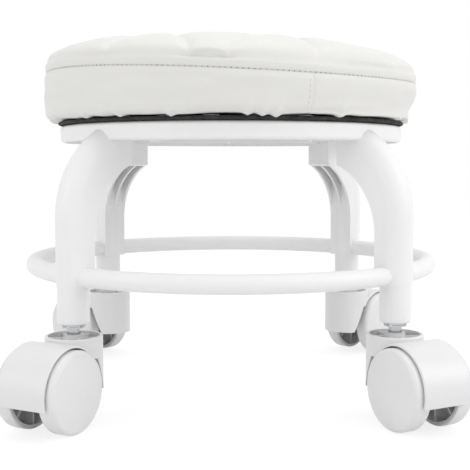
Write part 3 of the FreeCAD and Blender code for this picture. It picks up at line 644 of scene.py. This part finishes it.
def puff_up(cover):
    """Fill the cover: cloth under pressure, held at its creases, its tufts and its hem."""
    before = [vertex.co.copy() for vertex in cover.data.vertices]
    select_only(cover)
    cloth = cover.modifiers.new("cloth", "CLOTH")
    for name, value in PUFF_CLOTH.items():
        setattr(cloth.settings, name, value)
    cloth.settings.effector_weights.gravity = 0
    cloth.collision_settings.use_collision = False
    cloth.point_cache.frame_end = PUFF_FRAMES
    for step in range(1, PUFF_FRAMES + 1):
        bpy.context.scene.frame_set(step)
    bpy.ops.object.modifier_apply(modifier=cloth.name)
    bpy.context.scene.frame_set(1)
    for vertex, start in zip(cover.data.vertices, before):
        move = vertex.co - start
        if move.length > PUFF_LIMIT:
            vertex.co = start + move * (PUFF_LIMIT / move.length)


def bell(distance, reach):
    return math.exp(-(distance / reach) ** 2)


def turn_gap(first, second):
    """Signed angle from the second turn to the first, by the shorter way."""
    return (first - second + math.pi) % math.tau - math.pi


def seam_path(cover):
    """Points of the seam in order round the cushion."""
    group = cover.vertex_groups["seam"].index
    ring = [
        vertex.co.copy() for vertex in cover.data.vertices
        if any(tie.group == group and tie.weight > SEAM_WEIGHT for tie in vertex.groups)
    ]
    return sorted(ring, key=turn_of)


def even_path(ring):
    """The closed path with its small kinks drawn straight."""
    count = len(ring)
    reach = range(-SEAM_STEADY, SEAM_STEADY + 1)
    path = []
    for index in range(count):
        near = [ring[(index + step) % count] for step in reach]
        path.append(sum(near, Vector()) / len(reach))
    return path


def pleat_turns():
    """The hem's pleats: those that the photograph shows, and others like them out of its sight."""
    dice = random.Random(PLEAT_SEED)
    turns = list(SEEN_PLEATS)
    turn = HIDDEN_PLEATS_START
    while turn < HIDDEN_PLEATS_END:
        turns.append(turn)
        turn += PLEAT_PITCH * dice.uniform(*PLEAT_SPREAD)
    return turns


def panel_push(turn, gap, slack):
    """How far the panel stands out near the seam: the fold over it, the roll above that, and slack."""
    fold = FOLD_MEAN + FOLD_CHANGE * noise.noise(around(turn, 1, 0) * FOLD_WAVES)
    fold += FOLD_FRONT * bell(turn_gap(turn, FOLD_TURN), FOLD_REACH)
    push = -FOLD_DEPTH * fold * bell(gap - STRIP_RISE, FOLD_WIDTH)
    push += ROLL_SHARE * FOLD_DEPTH * fold * bell(gap - STRIP_RISE - ROLL_GAP, ROLL_REACH)
    return push + PANEL_SLACK * slack * min(gap / PANEL_SLACK_START, 1)


def band_push(turn, radius, height, gap, slack, pleats):
    """How far the band stands out: its join drawn in, slack, and a ridge up from each pleat."""
    push = -JOIN_DEPTH * bell(turn_gap(turn, JOIN_TURN) * radius, JOIN_REACH)
    push += BAND_SLACK * slack * min(gap / BAND_SLACK_START, 1)
    for pleat in pleats:
        aside = abs(turn_gap(turn, pleat)) * radius
        push += RIDGE_HEIGHT * bell(aside, RIDGE_WIDTH) * bell(height, RIDGE_RISE)
    return push


def hem_lift(turn, radius, height, pleats):
    """How far the band's foot hangs lower at its pleats, and waves between them, outside the cloth."""
    lip = min(max((radius - PLEAT_INNER_RADIUS) / PLEAT_RAMP, 0), 1)
    lift = HEM_WAVE * lip * noise.noise(Vector((turn * HEM_WAVES, 0, 0))) * bell(height, HEM_WAVE_RISE)
    for pleat in pleats:
        aside = abs(turn_gap(turn, pleat)) * radius
        lift -= PLEAT_DROP * lip * max(1 - aside / PLEAT_WIDTH, 0) * bell(height, PLEAT_RISE)
    return lift


def crumple(cover):
    """Press in the seams and the fold over them, and add pleats, tucks and slack to the band."""
    ring = seam_path(cover)
    even = even_path(ring)
    ring_turns = [turn_of(point) for point in ring]
    board_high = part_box("seat_board")[1]
    side_least = board_high.x + LEATHER + BOARD_GAP
    pleats = pleat_turns()
    moves = []
    for vertex in cover.data.vertices:
        spot, normal = vertex.co, vertex.normal
        radius = math.hypot(spot.x, spot.y)
        if radius < PANEL_CALM_RADIUS:
            moves.append(Vector())
            continue
        turn = turn_of(spot)
        place = bisect.bisect(ring_turns, turn) % len(ring)
        near = ring[place]
        rise = spot.z - near.z
        gap = math.hypot(rise, radius - math.hypot(near.x, near.y))
        push = -SEAM_DEPTH * bell(gap, SEAM_REACH) + LIP_RISE * bell(gap - LIP_GAP, LIP_REACH)
        shift = (even[place] - near) * bell(gap, SEAM_CALM)
        across = spot / SLACK_ACROSS
        slack = noise.noise(Vector((across.x, across.y, spot.z / SLACK_UPRIGHT)) / MM)
        if rise >= 0:
            push += panel_push(turn, gap, slack)
        else:
            height = spot.z - HEM_HEIGHT
            push += band_push(turn, radius, height, gap, slack, pleats)
            shift.z += hem_lift(turn, radius, height, pleats)
            tuck = max(math.cos(turn - TUCK_TURN), 0) ** 2 * max(1 - height / TUCK_HEIGHT, 0) ** 2
            out = around(turn, 1, 0)
            shift -= out * TUCK_DEPTH * tuck
            if radius > side_least and spot.z < board_high.z + LEATHER:
                shift += out * max(side_least - radius - (normal * push + shift).dot(out), 0)
        moves.append(normal * push + shift)
    for vertex, move in zip(cover.data.vertices, moves):
        vertex.co += move


def mark_seam(cover, ring):
    """Give each point its distance from the seam and its run round it, for the painted shade of the needle
    holes.
    """
    ring_turns = [turn_of(point) for point in ring]
    runs = [0.0]
    for start, end in zip(ring, ring[1:]):
        runs.append(runs[-1] + (end - start).length)
    gap_marks = cover.data.attributes.new("seam_gap", "FLOAT", "POINT")
    run_marks = cover.data.attributes.new("seam_run", "FLOAT", "POINT")
    for index, vertex in enumerate(cover.data.vertices):
        turn = turn_of(vertex.co)
        after = min(max(bisect.bisect(ring_turns, turn), 1), len(ring) - 1)
        share = (turn - ring_turns[after - 1]) / (ring_turns[after] - ring_turns[after - 1])
        gap_marks.data[index].value = (vertex.co - ring[after - 1].lerp(ring[after], share)).length
        run_marks.data[index].value = runs[after - 1] + (runs[after] - runs[after - 1]) * share


def dress(piece, slot, *nodes):
    """Let a piece of the seat ride on the stool, for the nodes it stands for; the slot is not used."""
    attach(piece, "stool")
    if nodes:
        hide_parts(*nodes)


def stuff_foam(cover):
    """The foam block under the leather: the cover's own form, drawn in and cut flat on the board."""
    mesh = cover.data.copy()
    foam = bpy.data.objects.new("seat_foam_block", mesh)
    bpy.context.collection.objects.link(foam)
    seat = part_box("seat_board")[1].z + FOAM_SEAT_GAP
    drawn_in = [vertex.co - vertex.normal * (LEATHER + FOAM_GAP) for vertex in mesh.vertices]
    for vertex, spot in zip(mesh.vertices, drawn_in):
        vertex.co = spot
    select_only(foam)
    bpy.ops.object.mode_set(mode="EDIT")
    bpy.ops.mesh.select_all(action="SELECT")
    bpy.ops.mesh.bisect(plane_co=(0, 0, seat), plane_no=(0, 0, 1), use_fill=True, clear_inner=True)
    bpy.ops.object.mode_set(mode="OBJECT")
    foam.vertex_groups.clear()
    mesh.materials.clear()
    mesh.materials.append(cut_foam())
    dress(foam, "foam", "seat_foam")


def split_cover(cover):
    """Part the cover at its seam into the top panel and the side band, each of real leather thickness."""
    leather = white_leather()
    cover.data.materials.append(leather)
    cover.data.materials.append(leather.copy())
    select_only(cover)
    bpy.ops.object.mode_set(mode="EDIT")
    bpy.ops.mesh.separate(type="MATERIAL")
    bpy.ops.object.mode_set(mode="OBJECT")
    halves = sorted(bpy.context.selected_objects, key=lambda half: max(v.co.z for v in half.data.vertices))
    for half, name in zip(halves, ("leather_side_band", "leather_top_panel")):
        half.name = name
        half.data.materials.clear()
        half.data.materials.append(leather)
        half.vertex_groups.clear()
        apply_modifier(half, "SOLIDIFY", thickness=LEATHER, offset=-1.0)
        smooth(half)
    band, panel = halves
    dress(band, "white_leather", "cover_side_band")
    dress(panel, "white_leather", "cover_top_panel")


# Padded seat: thread

def spaced(path, pitch):
    """Points along a line of points, a pitch apart."""
    spots = [path[0]]
    left = pitch
    for start, end in zip(path, path[1:]):
        run = (end - start).length
        done = 0.0
        while run - done >= left:
            done += left
            spots.append(start.lerp(end, done / run))
            left = pitch
        left -= run - done
    return spots


def thread_loop():
    """One stitch along X, its ends dipping into the leather."""
    bpy.ops.mesh.primitive_uv_sphere_add(segments=STITCH_SIDES, ring_count=STITCH_RINGS, radius=1)
    stitch = bpy.context.object
    for vertex in stitch.data.vertices:
        x, y, z = vertex.co
        dip = x * x * THREAD * STITCH_DIP
        vertex.co = (x * STITCH_LENGTH / 2, y * THREAD / 2, z * THREAD / 2 - dip)
    return stitch


def sew_thread(name, paths):
    """Stitches along each path: one thread loop, modelled once and copied."""
    stitch = thread_loop()
    copies = []
    for path in paths:
        spots = spaced(path, STITCH_PITCH)
        for start, end in zip(spots, spots[1:]):
            middle = (start + end) / 2
            along = (end - start).normalized()
            out = Vector((middle.x, middle.y, 0)).normalized()
            out = (out - along * out.dot(along)).normalized()
            turn = Matrix((along, out.cross(along), out)).transposed().to_4x4()
            mesh = stitch.data.copy()
            mesh.transform(Matrix.Translation(middle + out * THREAD * STITCH_LIFT) @ turn)
            copies.append(bpy.data.objects.new(name, mesh))
            bpy.context.collection.objects.link(copies[-1])
    bpy.data.objects.remove(stitch)
    bpy.ops.object.select_all(action="DESELECT")
    for copy in copies:
        copy.select_set(True)
    bpy.context.view_layer.objects.active = copies[0]
    bpy.ops.object.join()
    thread = bpy.context.object
    thread.name = name
    thread.data.materials.append(sewing_thread())
    smooth(thread)
    dress(thread, "white_leather")


def stitch_cushion(ring, surface):
    """Stitches of the seam all round, and beside the side band's upright join."""
    foot = HEM_HEIGHT + JOIN_FOOT
    top = seam_height(JOIN_TURN) - JOIN_FOOT
    turn = JOIN_TURN - JOIN_STITCH_GAP / SIDE_RADIUS
    join = []
    for step in range(JOIN_STEPS + 1):
        height = foot + (top - foot) * step / JOIN_STEPS
        hit, spot, normal, face = surface.ray_cast(around(turn, JOIN_SIGHT, height), -around(turn, 1, 0))
        if hit:
            join.append(spot)
    sew_thread("seat_seam_thread", [ring + ring[:1], join])


# Cloth under the seat

CLOTH = 0.4 * MM
CLOTH_QUADS = 40
CLOTH_FLAT_RADIUS = 112.0 * MM
CLOTH_FLAT_DROP = 0.5 * MM

# Rows of the fold in millimetres: out from the edge, above the cloth's foot, and how rough
FOLD_ROWS = [
    (-8.6, 2.2, 0.0),
    (-7.4, 0.5, 0.0),
    (-4.0, 0.25, 0.0),
    (-1.4, 0.3, 0.4),
    (0.2, 0.6, 1.0),
    (0.7, 1.4, 1.0),
    (0.2, 2.2, 1.0),
]

# The same where the fold runs back: out from the edge, above the cloth's top, and how rough
RETURN_ROWS = [
    (-1.6, -0.45, 0.6),
    (-6.0, -0.4, 0.3),
]
ROUGH_OUT = 0.9 * MM
ROUGH_OUT_WAVES = 14
ROUGH_UP = 0.25 * MM
ROUGH_UP_WAVES = 20
ROUGH_UP_PLACE = 5


def rough_point(turn, radius, height, rough):
    """A point of the cloth's folded edge, out of true by as much as the row is rough."""
    out = noise.noise(around(turn, ROUGH_OUT_WAVES, height / MM))
    up = noise.noise(around(turn, ROUGH_UP_WAVES, ROUGH_UP_PLACE))
    return around(turn, radius + rough * ROUGH_OUT * out, height + rough * ROUGH_UP * up)


def fold_dust_cloth():
    """Black cloth over the plate, its cut edge folded up and back under the board, a little rough."""
    low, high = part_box("dust_cloth")
    bpy.ops.mesh.primitive_grid_add(x_subdivisions=CLOTH_QUADS, y_subdivisions=CLOTH_QUADS, size=2)
    cloth = bpy.context.object
    cloth.name = "dust_cloth_sheet"
    for vertex in cloth.data.vertices:
        x, y = rounded(vertex.co.x, vertex.co.y)
        vertex.co = (x * CLOTH_FLAT_RADIUS, y * CLOTH_FLAT_RADIUS, high.z - CLOTH_FLAT_DROP)
    select_rim(cloth)
    for base, rows in ((low.z, FOLD_ROWS), (high.z, RETURN_ROWS)):
        for out, lift, rough in rows:
            extrude_rim(cloth, lambda turn: rough_point(turn, high.x + out * MM, base + lift * MM, rough))
    apply_modifier(cloth, "SUBSURF", levels=1, render_levels=1)
    apply_modifier(cloth, "SOLIDIFY", thickness=CLOTH, offset=0.0)
    cloth.data.materials.append(dust_cloth_felt())
    smooth(cloth)
    dress(cloth, "under_cloth", "dust_cloth")


def upholster():
    """The whole seat: cover, stitches, foam and the cloth under it."""
    cover = sew_cover()
    number_by_place(cover)
    puff_up(cover)
    apply_modifier(cover, "SUBSURF", levels=1, render_levels=1)
    crumple(cover)
    ring = seam_path(cover)
    mark_seam(cover, ring)
    stitch_cushion(ring, cover)
    stuff_foam(cover)
    split_cover(cover)
    fold_dust_cloth()


# Studio

FLOOR_SIZE = 40
FLOOR_GREY = 0.86
FLOOR_GLOW = 1.15
FLOOR_GLOW_SHARE = 0.7
SKY_LIGHT = 0.72
SKY_SEEN = 1.0
LAMP_AIM = Vector((0, 0, 0.12))

# Each lamp's place, size and power
LAMPS = {
    "overhead": ((0.1, 0.1, 1.6), 1.2, 6),
    "right_key": ((1.3, -0.6, 0.9), 0.9, 6.5),
    "left_fill": ((-1.3, -0.9, 0.7), 0.9, 4),
}


def lay_floor():
    """Pale floor that the camera sees as white, with the soft shadow of the stool left on it."""
    bpy.ops.mesh.primitive_plane_add(size=FLOOR_SIZE)
    floor = bpy.context.object
    floor.name = "studio_floor"
    finish = Finish("studio_floor")
    finish.shade(Base_Color=grey(FLOOR_GREY), Roughness=0.9)
    share = finish.between(finish.seen(), 0.0, 1.0, 0.0, FLOOR_GLOW_SHARE)
    glow = finish.node("ShaderNodeEmission", {"Strength": FLOOR_GLOW})
    plain = Value(finish, finish.shader.outputs[0])
    mixed = finish.node("ShaderNodeMixShader", {0: share, 1: plain, 2: glow})
    finish.feed(finish.tree.nodes["Material Output"].inputs["Surface"], mixed)
    floor.data.materials.append(finish.material)


def hang_lamp(name, place, size, watts):
    """Square soft light that points at the middle of the stool."""
    lamp = bpy.data.lights.new(name, "AREA")
    lamp.shape = "SQUARE"
    lamp.size = size
    lamp.energy = watts
    holder = bpy.data.objects.new(name, lamp)
    holder.location = place
    holder.rotation_euler = (LAMP_AIM - Vector(place)).to_track_quat("-Z", "Y").to_euler()
    bpy.context.collection.objects.link(holder)


def light_studio():
    """Even light from all round, that shows as white behind the stool, and three soft lamps."""
    world = bpy.data.worlds.new("studio")
    nodes = Nodes(world)
    sky = nodes.tree.nodes["Background"]
    nodes.feed(sky.inputs["Strength"], nodes.between(nodes.seen(), 0.0, 1.0, SKY_LIGHT, SKY_SEEN))
    sky.inputs["Color"].default_value = (1, 1, 1, 1)
    bpy.context.scene.world = world
    for name, (place, size, watts) in LAMPS.items():
        hang_lamp(name, place, size, watts)
    bpy.context.scene.view_settings.view_transform = "Standard"


def set_camera():
    lens = bpy.data.cameras.new("photo_camera")
    lens.sensor_width = SENSOR_WIDTH
    lens.lens = FOCAL_PIXELS / PHOTO_PIXELS * SENSOR_WIDTH
    lens.clip_start = NEAR_LIMIT
    camera = bpy.data.objects.new("photo_camera", lens)
    camera.location = CAMERA_PLACE
    camera.rotation_euler = (math.pi / 2 + CAMERA_PITCH, 0, CAMERA_HEADING)
    bpy.context.collection.objects.link(camera)
    bpy.context.scene.camera = camera


bpy.ops.object.select_all(action="DESELECT")
dress_frame_and_casters()
upholster()
lay_floor()
light_studio()
set_camera()
